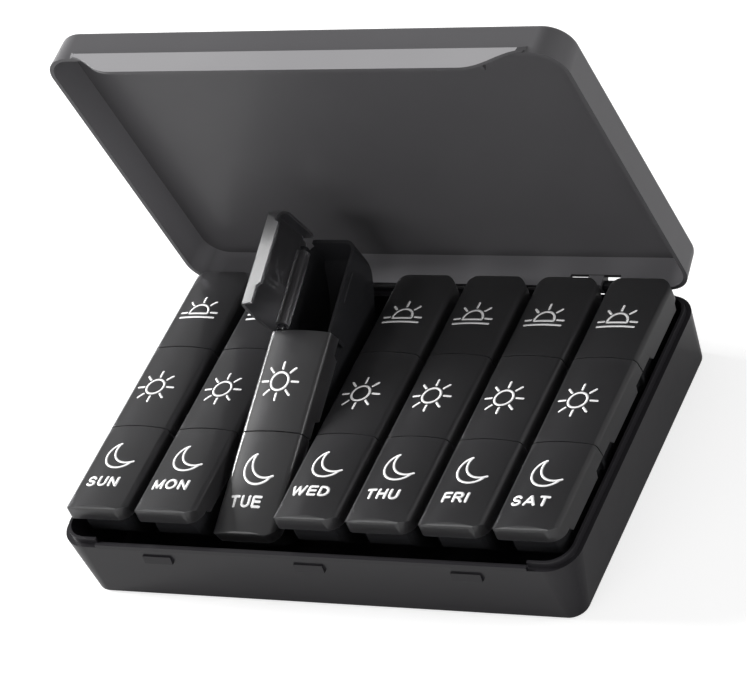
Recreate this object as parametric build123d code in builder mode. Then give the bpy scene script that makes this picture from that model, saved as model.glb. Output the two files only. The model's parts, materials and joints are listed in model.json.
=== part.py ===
"""Weekly pill organizer: a hinged case holding seven lift-up daily boxes, each with three lidded slots.

All sizes are millimetres. The origin is the centre of the tray's flat underside.
+X runs along the week from Sunday to Saturday, +Y points to the hinge at the rear, +Z is up.
The part is drawn as it stands in use: case lid open, Tuesday's box rocked up with its morning lid open.
"""
from build123d import *
import os

# Week layout
days = ("sunday", "monday", "tuesday", "wednesday", "thursday", "friday", "saturday")
box_gap = 6.8
slot_pitch = 39.8
row_centre_y = 2.5

# Tray
tray_side_room = 2.8
tray_depth = 130.0
rim_height = 24.9
side_taper = 4.6
end_taper = 1.7
rim_corner_radius = 11.0
foot_corner_radius = 6.0
tray_wall = 1.2
tray_floor = 1.8
foot_edge_radius = 1.2
lip_inset = 1.8
lip_wall = 1.0
lip_height = 2.4
front_gap_inset = 16.5
front_rise = 1.2
front_wall = 1.2
rear_gap_inset = 10.5
catch_width = 11.4
catch_height = 3.2
catch_top_proud = 0.4
catch_foot_proud = 0.75
catch_drop = 4.0
catch_spacing = 61.0
cut_margin = 1.0
fuse_overlap = 0.5

# Case lid and its hinge
case_open_angle = 80.4
case_lid_depth = 13.1
case_lid_wall = 1.5
case_lid_roof = 1.1
case_lid_draft = 0.9
case_lid_edge_radius = 2.6
rim_clearance = 0.3
hinge_behind = 1.5
hinge_above = 2.2
knuckle_radius = 2.3
knuckle_width = 6.0
knuckle_gap = 0.4
knuckle_web_drop = 11.5
knuckle_web_top = 0.6
lid_web_rise = 7.8
lid_web_foot = 0.4
hinge_pin_radius = 1.1
hinge_pin_inset = 1.0
hinge_spread = 124.0
pin_clearance = 0.05
notch_clearance = 0.5
tongue_drop = 8.0
tongue_proud = 2.5
tongue_step_proud = 1.35
tongue_step_rise = 3.2
tongue_root_rise = 2.6
tongue_inset = 12.5
tongue_end = 6.0
tongue_sweep = 21.0
tongue_wall = 1.4
tongue_clearance = 0.25
bead_length = 2.4
bead_radius = 0.4
fin_count = 6
fin_wall = 1.2
fin_reach = 7.2
fin_drop = 0.4
fin_rise = 6.4
fin_tip = 0.8

# Daily box
box_top_width = 21.4
box_taper = 1.7
box_top_height = 34.0
box_foot_height = 2.0
box_wall = 1.3
box_floor = 1.4
box_end_inset = 2.1
box_corner_radius = 4.6
bow_height = 22.6
bow_reach = 28.0
bow_radius = 52.0
end_lean = 0.8
partition_wall = 1.4
rib_width = 1.5
rib_proud = 1.0
rib_length = 5.4
rib_clearance = 0.3
latch_length = 12.0
latch_radius = 0.5
latch_drop = 3.0

# Slot lid
lid_gap = 0.5
lid_left_reach = 2.2
lid_right_reach = 1.3
lid_rise = 2.0
lid_crown = 1.0
crown_right_rise = 0.1
lid_plate = 1.4
shoulder_radius = 1.7
shoulder_fullness = 1.25
plate_chamfer = 0.5
lid_skirt_drop = 5.4
lid_skirt_wall = 1.0
lid_skirt_slope = 0.6
front_left_radius = 2.6
front_right_radius = 5.4
rear_left_radius = 5.6
rear_right_radius = 7.2
rolled_radius = 2.2
rolled_lift = 0.3
tab_top_length = 26.0
tab_foot_length = 23.6
tab_drop = 7.3
tab_reach = 1.0
tab_wall = 1.1
barrel_radius = 2.6
barrel_inner_gap = 3.0
barrel_outer_gap = 7.2
barrel_clearance = 0.3
lug_width = 1.8
lug_radius = 1.5
lug_gap = 0.25
lug_web_left = 0.7
lug_web_right = 1.3
lug_relief = 0.4
lug_neck = 2.0
lug_foot_drop = 1.0
lid_pin_radius = 0.9
lid_pin_clearance = 0.05
lid_pin_length = 1.7

# Rocked box and open lid
rock_angle = 17.5
rock_pole_y = -24.9
rock_pole_z = 31.2
morning_open_angle = 96.0

# Derived sizes
lid_edge_height = box_top_height + lid_rise
day_pitch = box_top_width + box_gap
week_middle = (len(days) - 1) / 2
tray_width = len(days) * day_pitch + 2 * tray_side_room
front_gap_half = tray_width / 2 - front_gap_inset
rear_gap_half = tray_width / 2 - rear_gap_inset
tongue_half = tray_width / 2 - tongue_inset
box_foot_width = box_top_width - 2 * box_taper
lid_left = box_top_width / 2 + lid_left_reach
lid_right = box_top_width / 2 + lid_right_reach
lid_length = slot_pitch - lid_gap
row_half = 1.5 * slot_pitch - lid_gap / 2
box_half = row_half - box_end_inset
barrel_x = barrel_radius - lid_left
barrel_z = lid_edge_height - barrel_radius
hinge_y = tray_depth / 2 + hinge_behind
hinge_z = rim_height + hinge_above
lid_rim_z = rim_height + rim_clearance
lip_top = rim_height + lip_height
lip_mouth = lip_inset + lip_wall
knuckle_step = knuckle_width + knuckle_gap
front_face = -tray_depth / 2
front_top = rim_height + front_rise
skirt_foot = lid_edge_height - lid_skirt_drop

# Tray: a tapered open shell with a stepped rim, three catches in front and hinge knuckles behind
with BuildPart() as base_tray:
    with BuildSketch(Plane.XY):
        RectangleRounded(tray_width - 2 * side_taper, tray_depth - 2 * end_taper, foot_corner_radius)
    with BuildSketch(Plane.XY.offset(rim_height)):
        RectangleRounded(tray_width, tray_depth, rim_corner_radius)
    loft()
    fillet(base_tray.faces().sort_by(Axis.Z)[0].edges(), foot_edge_radius)
    # The lip around the sides is inset from the shoulder, the raised middle of the front wall is flush
    with BuildSketch(Plane.XY.offset(rim_height)):
        RectangleRounded(tray_width - 2 * lip_inset, tray_depth - 2 * lip_inset, rim_corner_radius - lip_inset)
    extrude(amount=lip_height)
    with Locations((0, 0, rim_height)):
        Box(
            2 * front_gap_half,
            tray_depth,
            2 * lip_height,
            align=(Align.CENTER, Align.CENTER, Align.MIN),
            mode=Mode.SUBTRACT,
        )
        Box(
            2 * rear_gap_half,
            tray_depth,
            2 * lip_height,
            align=(Align.CENTER, Align.MIN, Align.MIN),
            mode=Mode.SUBTRACT,
        )
    with Locations((0, front_face, rim_height - fuse_overlap)):
        Box(
            2 * front_gap_half,
            front_wall,
            front_rise + fuse_overlap,
            align=(Align.CENTER, Align.MIN, Align.MIN),
        )
    # The hollow
    with BuildSketch(Plane.XY.offset(tray_floor)):
        RectangleRounded(
            tray_width - 2 * (side_taper + tray_wall),
            tray_depth - 2 * (end_taper + tray_wall),
            foot_corner_radius - tray_wall,
        )
    with BuildSketch(Plane.XY.offset(lip_top)):
        RectangleRounded(tray_width - 2 * lip_mouth, tray_depth - 2 * lip_mouth, rim_corner_radius - lip_mouth)
    loft(mode=Mode.SUBTRACT)
    # Wedge catches, each with its ramp on top
    catch_top = front_top - catch_drop
    for catch in (-1, 0, 1):
        with BuildSketch(Plane.YZ.offset(catch * catch_spacing - catch_width / 2)):
            with BuildLine():
                Polyline(
                    (front_face + tray_wall, catch_top),
                    (front_face - catch_top_proud, catch_top),
                    (front_face - catch_foot_proud, catch_top - catch_height),
                    (front_face + tray_wall, catch_top - catch_height),
                    close=True,
                )
            make_face()
        extrude(amount=catch_width)
    # Each hinge has one knuckle of the lid between two of the tray
    for side in (-1, 1):
        for offset in (-1, 1):
            knuckle_x = side * hinge_spread / 2 + offset * knuckle_step
            with BuildSketch(Plane.YZ.offset(knuckle_x - knuckle_width / 2)):
                with BuildLine():
                    Polyline(
                        (hinge_y + knuckle_radius, hinge_z),
                        (hinge_y + knuckle_radius, hinge_z - 2 * knuckle_radius),
                        (tray_depth / 2 - tray_wall, rim_height - knuckle_web_drop),
                        (tray_depth / 2 - tray_wall, rim_height - knuckle_web_top),
                        (hinge_y - knuckle_radius, hinge_z),
                        close=True,
                    )
                make_face()
                with Locations((hinge_y, hinge_z)):
                    Circle(knuckle_radius)
                    Circle(hinge_pin_radius + pin_clearance, mode=Mode.SUBTRACT)
            extrude(amount=knuckle_width)
base_tray.part.label = "base_tray"
os.makedirs("parts", exist_ok=True)
export_step(base_tray.part, "parts/base_tray.step")

# Case lid, closed: a shallow drafted shell with a tongue in front and two knuckles with pins behind
tongue_foot = lid_rim_z - tongue_drop
lid_front = -tray_depth / 2
tongue_front = lid_front - tongue_proud
tongue_back = tongue_front + tongue_wall
lid_top = lid_rim_z + case_lid_depth
with BuildPart() as closed_case_lid:
    with BuildSketch(Plane.XY.offset(lid_rim_z)):
        RectangleRounded(tray_width, tray_depth, rim_corner_radius)
    with BuildSketch(Plane.XY.offset(lid_top)):
        RectangleRounded(
            tray_width - 2 * case_lid_draft,
            tray_depth - 2 * case_lid_draft,
            rim_corner_radius - case_lid_draft,
        )
    loft()
    fillet(closed_case_lid.faces().sort_by(Axis.Z)[-1].edges(), case_lid_edge_radius)
    with BuildPart() as tongue:
        with BuildSketch(Plane.YZ.offset(-tongue_half)):
            with BuildLine():
                Polyline(
                    (lid_front + case_lid_draft / 2, lid_rim_z + tongue_step_rise),
                    (lid_front - tongue_step_proud, front_top + tongue_clearance),
                    (tongue_front, tongue_foot),
                    (tongue_back, tongue_foot),
                    (lid_front - tongue_clearance, front_top),
                    (lid_front + case_lid_wall, front_top + tongue_clearance),
                    (lid_front + case_lid_wall, lid_rim_z + tongue_root_rise),
                    close=True,
                )
            make_face()
        extrude(amount=2 * tongue_half)
        # In plan the tongue runs out into the wall at both ends
        with BuildSketch(Plane.XY.offset(tongue_foot - cut_margin)):
            with BuildLine():
                Polyline(
                    (-tongue_half, lid_front + 2 * case_lid_wall),
                    (-tongue_half, lid_front),
                    (-tongue_half + tongue_end, tongue_front - cut_margin),
                    (tongue_half - tongue_end, tongue_front - cut_margin),
                    (tongue_half, lid_front),
                    (tongue_half, lid_front + 2 * case_lid_wall),
                    close=True,
                )
            make_face()
        extrude(amount=tongue_drop + tongue_step_rise + 2 * cut_margin, mode=Mode.INTERSECT)
    with BuildSketch(Plane.XY.offset(lid_rim_z)):
        RectangleRounded(
            tray_width - 2 * case_lid_wall,
            tray_depth - 2 * case_lid_wall,
            rim_corner_radius - case_lid_wall,
        )
    with BuildSketch(Plane.XY.offset(lid_top - case_lid_roof)):
        RectangleRounded(
            tray_width - 2 * case_lid_wall - 2 * case_lid_draft,
            tray_depth - 2 * case_lid_wall - 2 * case_lid_draft,
            rim_corner_radius - case_lid_wall - case_lid_draft,
        )
    loft(mode=Mode.SUBTRACT)
    # Rebate behind the tongue for the raised middle of the tray's front wall
    with Locations((0, lid_front - tongue_clearance, lid_rim_z - cut_margin)):
        Box(
            2 * (front_gap_half + tongue_clearance),
            case_lid_wall + 2 * tongue_clearance,
            front_top + tongue_clearance - lid_rim_z + cut_margin,
            align=(Align.CENTER, Align.MIN, Align.MIN),
            mode=Mode.SUBTRACT,
        )
    # Swept ends of the tongue
    for side in (-1, 1):
        with BuildSketch(Plane.XZ.offset(-lid_front - 3 * cut_margin)):
            with BuildLine():
                Spline(
                    (side * (tongue_half + cut_margin), lid_rim_z),
                    (side * (tongue_half - tongue_sweep), tongue_foot),
                    tangents=((-side, 0), (-side, 0)),
                )
                Polyline(
                    (side * (tongue_half - tongue_sweep), tongue_foot),
                    (side * (tongue_half - tongue_sweep), tongue_foot - cut_margin),
                    (side * (tongue_half + cut_margin), tongue_foot - cut_margin),
                    (side * (tongue_half + cut_margin), lid_rim_z),
                )
            make_face()
        extrude(amount=6 * cut_margin, mode=Mode.SUBTRACT)
    # Knuckles and their pins, with notches in the rear wall for the knuckles of the tray
    for side in (-1, 1):
        knuckle_x = side * hinge_spread / 2
        with Locations((knuckle_x, tray_depth / 2, lid_rim_z - cut_margin)):
            Box(
                3 * knuckle_width + 4 * knuckle_gap,
                3 * case_lid_wall,
                knuckle_radius + notch_clearance + hinge_z - lid_rim_z + cut_margin,
                align=(Align.CENTER, Align.CENTER, Align.MIN),
                mode=Mode.SUBTRACT,
            )
        with BuildSketch(Plane.YZ.offset(knuckle_x - knuckle_width / 2)):
            with BuildLine():
                Polyline(
                    (hinge_y + knuckle_radius, hinge_z),
                    (hinge_y + 0.8 * knuckle_radius, hinge_z + 0.8 * knuckle_radius),
                    (tray_depth / 2 - case_lid_wall, hinge_z + lid_web_rise),
                    (tray_depth / 2 - case_lid_wall, lid_rim_z + lid_web_foot),
                    (hinge_y - knuckle_radius, hinge_z),
                    close=True,
                )
            make_face()
            with Locations((hinge_y, hinge_z)):
                Circle(knuckle_radius)
        extrude(amount=knuckle_width)
        with Locations(Location((knuckle_x, hinge_y, hinge_z), (0, 90, 0))):
            Cylinder(hinge_pin_radius, 3 * knuckle_width + 2 * knuckle_gap - 2 * hinge_pin_inset)
    # Beads at the foot of the tongue, which snap under the catches
    with Locations((0, tongue_back, tongue_foot + bead_radius)):
        with GridLocations(catch_spacing, 1, 3, 1):
            Cylinder(bead_radius, bead_length, rotation=(0, 90, 0))
    # Fins on the front wall, which reach between the daily boxes
    fin_root = lid_front + case_lid_wall - tongue_clearance
    for fin in range(fin_count):
        fin_x = (fin - (fin_count - 1) / 2) * day_pitch
        with BuildSketch(Plane.YZ.offset(fin_x - fin_wall / 2)):
            with BuildLine():
                Polyline(
                    (fin_root, lid_rim_z + fin_rise),
                    (fin_root, front_top + tongue_clearance),
                    (lid_front + lip_mouth + tongue_clearance, lid_rim_z - fin_drop),
                    (fin_root + fin_reach, lid_rim_z - fin_drop),
                    (fin_root + fin_reach, lid_rim_z - fin_drop + fin_tip),
                    close=True,
                )
            make_face()
        extrude(amount=fin_wall)

# The case lid stands open, tipped forward of upright
hinge_turn = Pos(0, hinge_y, hinge_z) * Rot(-case_open_angle, 0, 0) * Pos(0, -hinge_y, -hinge_z)
with BuildPart() as case_lid:
    add(closed_case_lid.part.moved(hinge_turn))
case_lid.part.label = "case_lid"
export_step(case_lid.part, "parts/case_lid.step")

# Daily box, pattern: bowed hull with the slots hollowed out of it
with BuildPart() as box_pattern:
    for inset, floor_z, mode in (
        (0, box_foot_height, Mode.ADD),
        (box_wall, box_foot_height + box_floor, Mode.SUBTRACT),
    ):
        end = box_half - inset
        with BuildPart(mode=mode):
            with BuildSketch(Plane.XY.offset(floor_z)):
                RectangleRounded(box_foot_width - 2 * inset, 2 * end, box_corner_radius - inset)
            with BuildSketch(Plane.XY.offset(box_top_height)):
                RectangleRounded(box_top_width - 2 * inset, 2 * end, box_corner_radius - inset)
            loft()
            with BuildSketch(Plane.YZ.offset(-box_top_width)):
                with BuildLine():
                    Line((-end + end_lean, bow_height), (-end, box_top_height))
                    Line((-end, box_top_height), (end, box_top_height))
                    Line((end, box_top_height), (end - end_lean, bow_height))
                    RadiusArc((end - end_lean, bow_height), (end - bow_reach, floor_z), bow_radius)
                    Line((end - bow_reach, floor_z), (bow_reach - end, floor_z))
                    RadiusArc((bow_reach - end, floor_z), (end_lean - end, bow_height), bow_radius)
                make_face()
            extrude(amount=2 * box_top_width, mode=Mode.INTERSECT)
    # Two partitions between the slots
    for side in (-1, 1):
        with BuildSketch(Plane.XZ.offset(-side * slot_pitch / 2 - partition_wall / 2)):
            with BuildLine():
                Polyline(
                    (-box_foot_width / 2 + box_wall / 2, box_foot_height + box_floor / 2),
                    (-box_top_width / 2 + box_wall / 2, box_top_height),
                    (box_top_width / 2 - box_wall / 2, box_top_height),
                    (box_foot_width / 2 - box_wall / 2, box_foot_height + box_floor / 2),
                    close=True,
                )
            make_face()
        extrude(amount=partition_wall)
    # The left wall stops below the barrels of the lids
    with Locations((barrel_x + barrel_radius + barrel_clearance, 0, barrel_z - barrel_radius - barrel_clearance)):
        Box(
            box_top_width / 2,
            2 * (box_half + cut_margin),
            4 * barrel_radius,
            align=(Align.MAX, Align.CENTER, Align.MIN),
            mode=Mode.SUBTRACT,
        )
    # Lugs with holes for the pins of the lids
    lug_foot = barrel_z - barrel_radius - 2 * barrel_clearance - lug_foot_drop
    inner_lug = slot_pitch / 2 - lid_gap / 2 - barrel_inner_gap + lug_gap + lug_width / 2
    outer_lug = row_half - barrel_outer_gap + lug_gap + lug_width / 2
    lug_places = [-outer_lug, inner_lug - slot_pitch, -inner_lug, inner_lug, slot_pitch - inner_lug, outer_lug]
    for lug_y in lug_places:
        with BuildSketch(Plane.XZ.offset(-lug_y - lug_width / 2)):
            with Locations((barrel_x, barrel_z)):
                Circle(lug_radius)
            with BuildLine():
                Polyline(
                    (barrel_x - lug_web_left, barrel_z),
                    (barrel_x - lug_web_left, barrel_z - lug_neck),
                    (-box_top_width / 2 + box_wall / 3, lug_foot),
                    (barrel_x + lug_web_right, lug_foot),
                    (barrel_x + lug_web_right, barrel_z),
                    close=True,
                )
            make_face()
            with Locations((barrel_x, barrel_z)):
                Circle(lid_pin_radius + lid_pin_clearance, mode=Mode.SUBTRACT)
        extrude(amount=lug_width)
    # Ribs at the partitions and latch beads at the slots, on the right wall
    with Locations((box_top_width / 2 - box_wall / 2, 0, skirt_foot - rib_clearance)):
        with GridLocations(1, slot_pitch, 1, 2):
            Box(
                box_wall / 2 + rib_proud,
                rib_width,
                rib_length,
                align=(Align.MIN, Align.CENTER, Align.MAX),
            )
    with Locations((box_top_width / 2 - latch_radius / 2, 0, box_top_height - latch_drop)):
        with GridLocations(1, slot_pitch, 1, 3):
            Cylinder(latch_radius, latch_length, rotation=(90, 0, 0))

# Slot lids, one pattern for each row: crowned plate, hinge barrel on the left, finger tab on the right
corner_radii = {
    "night": (front_left_radius, front_right_radius),
    "noon": (0, 0),
    "morning": (rear_left_radius, rear_right_radius),
}
lid_patterns = {}
for row, time in enumerate(("night", "noon", "morning")):
    outer_side = row - 1
    left_radius, right_radius = corner_radii[time]
    lid_half = lid_length / 2
    with BuildPart() as lid_pattern:
        for inset, mode in ((0, Mode.ADD), (lid_skirt_wall, Mode.SUBTRACT)):
            with BuildPart(mode=mode):
                if inset == 0:
                    with BuildSketch(Plane.XZ.offset(-lid_half)):
                        with BuildLine():
                            Line((-lid_left, skirt_foot), (-lid_left, barrel_z))
                            RadiusArc((-lid_left, barrel_z), (barrel_x, lid_edge_height), barrel_radius)
                            ThreePointArc(
                                (barrel_x, lid_edge_height),
                                (0, lid_edge_height + lid_crown),
                                (lid_right - shoulder_radius, lid_edge_height + crown_right_rise),
                            )
                            RadiusArc(
                                (lid_right - shoulder_radius, lid_edge_height + crown_right_rise),
                                (lid_right, lid_edge_height - shoulder_radius),
                                shoulder_fullness * shoulder_radius,
                            )
                            Line(
                                (lid_right, lid_edge_height - shoulder_radius),
                                (lid_right + lid_skirt_slope, skirt_foot),
                            )
                            Line((lid_right + lid_skirt_slope, skirt_foot), (-lid_left, skirt_foot))
                        make_face()
                else:
                    with BuildSketch(Plane.XZ.offset(-lid_half)):
                        with BuildLine():
                            Line(
                                (-lid_left - 2 * cut_margin, skirt_foot - 2 * cut_margin),
                                (-lid_left - 2 * cut_margin, lid_edge_height - lid_plate),
                            )
                            Line(
                                (-lid_left - 2 * cut_margin, lid_edge_height - lid_plate),
                                (barrel_x, lid_edge_height - lid_plate),
                            )
                            ThreePointArc(
                                (barrel_x, lid_edge_height - lid_plate),
                                (0, lid_edge_height + lid_crown - lid_plate),
                                (lid_right - lid_skirt_wall - plate_chamfer, lid_edge_height - lid_plate),
                            )
                            Polyline(
                                (lid_right - lid_skirt_wall - plate_chamfer, lid_edge_height - lid_plate),
                                (lid_right - lid_skirt_wall, lid_edge_height - lid_plate - plate_chamfer),
                                (lid_right + lid_skirt_slope - lid_skirt_wall, skirt_foot - 2 * cut_margin),
                                (-lid_left - 2 * cut_margin, skirt_foot - 2 * cut_margin),
                            )
                        make_face()
                        with Locations((barrel_x, barrel_z)):
                            Circle(lug_radius + lug_relief)
                extrude(amount=lid_length)
                # Plan outline: rounded corners at the outer end of the row
                with BuildSketch(Plane.XY.offset(skirt_foot - 4 * cut_margin)):
                    left = -lid_left - (2 * cut_margin if inset else 0)
                    right = lid_right + lid_skirt_slope - inset
                    front = -lid_half + (inset if outer_side < 0 else 0)
                    back = lid_half - (inset if outer_side > 0 else 0)
                    tip = front if outer_side < 0 else back
                    with BuildLine():
                        Polyline((left, front), (left, back), (right, back), (right, front), close=True)
                    make_face()
                    corners = vertices().filter_by_position(Axis.Y, tip - 0.1, tip + 0.1).sort_by(Axis.X)
                    if outer_side:
                        fillet(corners[1], right_radius - inset)
                    if outer_side and not inset:
                        left_corners = vertices().filter_by_position(Axis.Y, tip - 0.1, tip + 0.1)
                        fillet(left_corners.sort_by(Axis.X)[0], left_radius)
                extrude(amount=2 * lid_skirt_drop + 6 * cut_margin, mode=Mode.INTERSECT)
        # The outer end is rolled over
        if outer_side:
            with BuildSketch(Plane.YZ.offset(-lid_left - cut_margin)):
                with BuildLine():
                    tip = outer_side * lid_half
                    top = lid_edge_height + lid_crown + rolled_lift
                    Polyline(
                        (tip, top - rolled_radius),
                        (tip + outer_side, top - rolled_radius),
                        (tip + outer_side, top + cut_margin),
                        (tip - outer_side * rolled_radius, top + cut_margin),
                        (tip - outer_side * rolled_radius, top),
                    )
                    RadiusArc(
                        (tip - outer_side * rolled_radius, top),
                        (tip, top - rolled_radius),
                        outer_side * rolled_radius,
                    )
                make_face()
            extrude(amount=2 * (lid_left + cut_margin), mode=Mode.SUBTRACT)
        # Finger tab with slanted ends
        with BuildPart() as tab:
            with BuildSketch(Plane.XZ.offset(-tab_top_length / 2)):
                with BuildLine():
                    Polyline(
                        (lid_right, lid_edge_height - shoulder_radius),
                        (lid_right + tab_reach, lid_edge_height - tab_drop),
                        (lid_right + tab_reach - tab_wall, lid_edge_height - tab_drop),
                        (lid_right - tab_wall, lid_edge_height - shoulder_radius),
                        close=True,
                    )
                make_face()
            extrude(amount=tab_top_length)
            with BuildSketch(Plane.YZ.offset(lid_right - 2 * cut_margin)):
                with BuildLine():
                    Polyline(
                        (-tab_top_length / 2, lid_edge_height),
                        (tab_top_length / 2, lid_edge_height),
                        (tab_top_length / 2, skirt_foot),
                        (tab_foot_length / 2, lid_edge_height - tab_drop),
                        (-tab_foot_length / 2, lid_edge_height - tab_drop),
                        (-tab_top_length / 2, skirt_foot),
                        close=True,
                    )
                make_face()
            extrude(amount=2 * tab_wall + 4 * cut_margin, mode=Mode.INTERSECT)
        # Barrel with a pin at each end
        gap_front = barrel_outer_gap if outer_side < 0 else barrel_inner_gap
        gap_back = barrel_outer_gap if outer_side > 0 else barrel_inner_gap
        barrel_start = -lid_half + gap_front
        barrel_end = lid_half - gap_back
        with BuildSketch(Plane.XZ.offset(-barrel_end)):
            with Locations((barrel_x, barrel_z)):
                Circle(barrel_radius)
        extrude(amount=barrel_end - barrel_start)
        with BuildSketch(Plane.XZ.offset(-barrel_end - lid_pin_length)):
            with Locations((barrel_x, barrel_z)):
                Circle(lid_pin_radius)
        extrude(amount=barrel_end - barrel_start + 2 * lid_pin_length)
    lid_patterns[time] = lid_pattern.part

# Every day has its own box and three lids; Tuesday's box is rocked up and its morning lid stands open
rock = Pos(0, rock_pole_y, rock_pole_z) * Rot(rock_angle, 0, 0) * Pos(0, -rock_pole_y, -rock_pole_z)
open_turn = Pos(barrel_x, 0, barrel_z) * Rot(0, -morning_open_angle, 0) * Pos(-barrel_x, 0, -barrel_z)
for day, name in enumerate(days):
    place = Pos((day - week_middle) * day_pitch, row_centre_y, 0)
    if name == "tuesday":
        place = rock * place
    with BuildPart() as day_box:
        add(box_pattern.part.moved(place))
    day_box.part.label = f"{name}_box"
    export_step(day_box.part, f"parts/{name}_box.step")
    for row, time in enumerate(("night", "noon", "morning")):
        lid_place = place * Pos(0, (row - 1) * slot_pitch, 0)
        if name == "tuesday" and time == "morning":
            lid_place = lid_place * open_turn
        with BuildPart() as slot_lid:
            add(lid_patterns[time].moved(lid_place))
        slot_lid.part.label = f"{name}_{time}_lid"
        export_step(slot_lid.part, f"parts/{name}_{time}_lid.step")
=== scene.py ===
"""Weekly pill organizer, dressed for rendering.

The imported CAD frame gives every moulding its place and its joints. This script gives the mouldings
softened edges, smoky plastics and printed marks, and sets up a small photo studio round them.
Everything is in metres, in the frame of the CAD.
"""

from __future__ import annotations

import json
import logging
import math
from dataclasses import dataclass, field
from enum import Enum

import bmesh
import bpy
from mathutils import Matrix, Quaternion, Vector

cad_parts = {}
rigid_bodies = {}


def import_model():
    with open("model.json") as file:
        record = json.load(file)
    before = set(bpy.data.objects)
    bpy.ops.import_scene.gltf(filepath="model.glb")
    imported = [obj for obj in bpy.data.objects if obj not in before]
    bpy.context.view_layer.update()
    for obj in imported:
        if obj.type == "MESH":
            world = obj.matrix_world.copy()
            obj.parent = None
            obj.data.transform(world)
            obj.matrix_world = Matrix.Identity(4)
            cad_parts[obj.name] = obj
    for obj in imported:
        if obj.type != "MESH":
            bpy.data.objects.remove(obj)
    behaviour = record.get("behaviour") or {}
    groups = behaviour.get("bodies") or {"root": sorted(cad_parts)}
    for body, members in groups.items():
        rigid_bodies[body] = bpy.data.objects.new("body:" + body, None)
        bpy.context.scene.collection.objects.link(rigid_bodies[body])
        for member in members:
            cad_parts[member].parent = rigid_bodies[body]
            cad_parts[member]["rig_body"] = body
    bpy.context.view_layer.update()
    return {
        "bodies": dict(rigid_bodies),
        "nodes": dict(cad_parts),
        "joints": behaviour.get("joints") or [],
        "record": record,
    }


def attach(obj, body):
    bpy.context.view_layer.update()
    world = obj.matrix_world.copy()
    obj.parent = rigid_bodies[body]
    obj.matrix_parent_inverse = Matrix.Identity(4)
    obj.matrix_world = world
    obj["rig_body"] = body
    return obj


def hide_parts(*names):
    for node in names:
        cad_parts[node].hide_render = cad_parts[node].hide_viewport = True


LOG = logging.getLogger("pill_organizer")
MM = 0.001
DAYS = ("sunday", "monday", "tuesday", "wednesday", "thursday", "friday", "saturday")
RAISED_DAY = "tuesday"

Point = tuple[float, float]
Colour = tuple[float, float, float]


class Slot(Enum):
    """The three slots of a daily box, with their row number from front to rear."""

    NIGHT = 0
    NOON = 1
    MORNING = 2

    @property
    def word(self) -> str:
        """Name of the slot as the CAD nodes spell it."""
        return self.name.lower()


@dataclass(frozen=True)
class LidSizes:
    """Sizes of the slot lids and of the way they stand, in millimetres and degrees."""

    day_pitch: float = 28.2
    slot_pitch: float = 39.8
    row_centre: float = 2.5
    barrel_x: float = -10.3
    barrel_z: float = 33.4
    edge_height: float = 36.0
    crown: float = 1.0
    crown_left: float = -10.3
    crown_right: float = 10.3
    crown_right_rise: float = 0.1
    rock_angle: float = 17.5
    rock_y: float = -24.9
    rock_z: float = 31.2
    open_angle: float = 96.0

    def crown_height(self, x: float) -> float:
        """Height of the lid's crowned top at a distance from the middle of the lid.

        Args:
            x: Distance across the lid, in millimetres.

        Returns:
            Height of the top surface, in millimetres.
        """
        # The crown is the arc through its left edge, its top and its right edge.
        ax, az = self.crown_left, self.edge_height
        bx, bz = 0.0, self.edge_height + self.crown
        cx, cz = self.crown_right, self.edge_height + self.crown_right_rise
        a, b, c = ax**2 + az**2, bx**2 + bz**2, cx**2 + cz**2
        twice_area = 2 * (ax * (bz - cz) + bx * (cz - az) + cx * (az - bz))
        centre_x = (a * (bz - cz) + b * (cz - az) + c * (az - bz)) / twice_area
        centre_z = (a * (cx - bx) + b * (ax - cx) + c * (bx - ax)) / twice_area
        radius = math.hypot(ax - centre_x, az - centre_z)
        return centre_z + math.sqrt(max(radius**2 - (x - centre_x) ** 2, 0.0))

    def place(self, day: int, slot: Slot) -> Matrix:
        """Matrix from a closed lid's own millimetres to the frame's metres.

        Args:
            day: Column of the lid, 0 for Sunday.
            slot: Slot that the lid closes.

        Returns:
            The matrix, with the rocked box and the open lid taken into account.
        """
        column = (day - len(DAYS) // 2) * self.day_pitch
        row = (slot.value - Slot.NOON.value) * self.slot_pitch
        matrix = Matrix.Translation(Vector((column, self.row_centre, 0.0)))
        if DAYS[day] == RAISED_DAY:
            pole = Matrix.Translation(Vector((0.0, self.rock_y, self.rock_z)))
            rock = Matrix.Rotation(math.radians(self.rock_angle), 4, "X")
            matrix = pole @ rock @ pole.inverted() @ matrix
        matrix = matrix @ Matrix.Translation(Vector((0.0, row, 0.0)))
        if DAYS[day] == RAISED_DAY and slot is Slot.MORNING:
            axis = Matrix.Translation(Vector((self.barrel_x, 0.0, self.barrel_z)))
            swing = Matrix.Rotation(math.radians(-self.open_angle), 4, "Y")
            matrix = matrix @ axis @ swing @ axis.inverted()
        return Matrix.Scale(MM, 4) @ matrix


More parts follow.
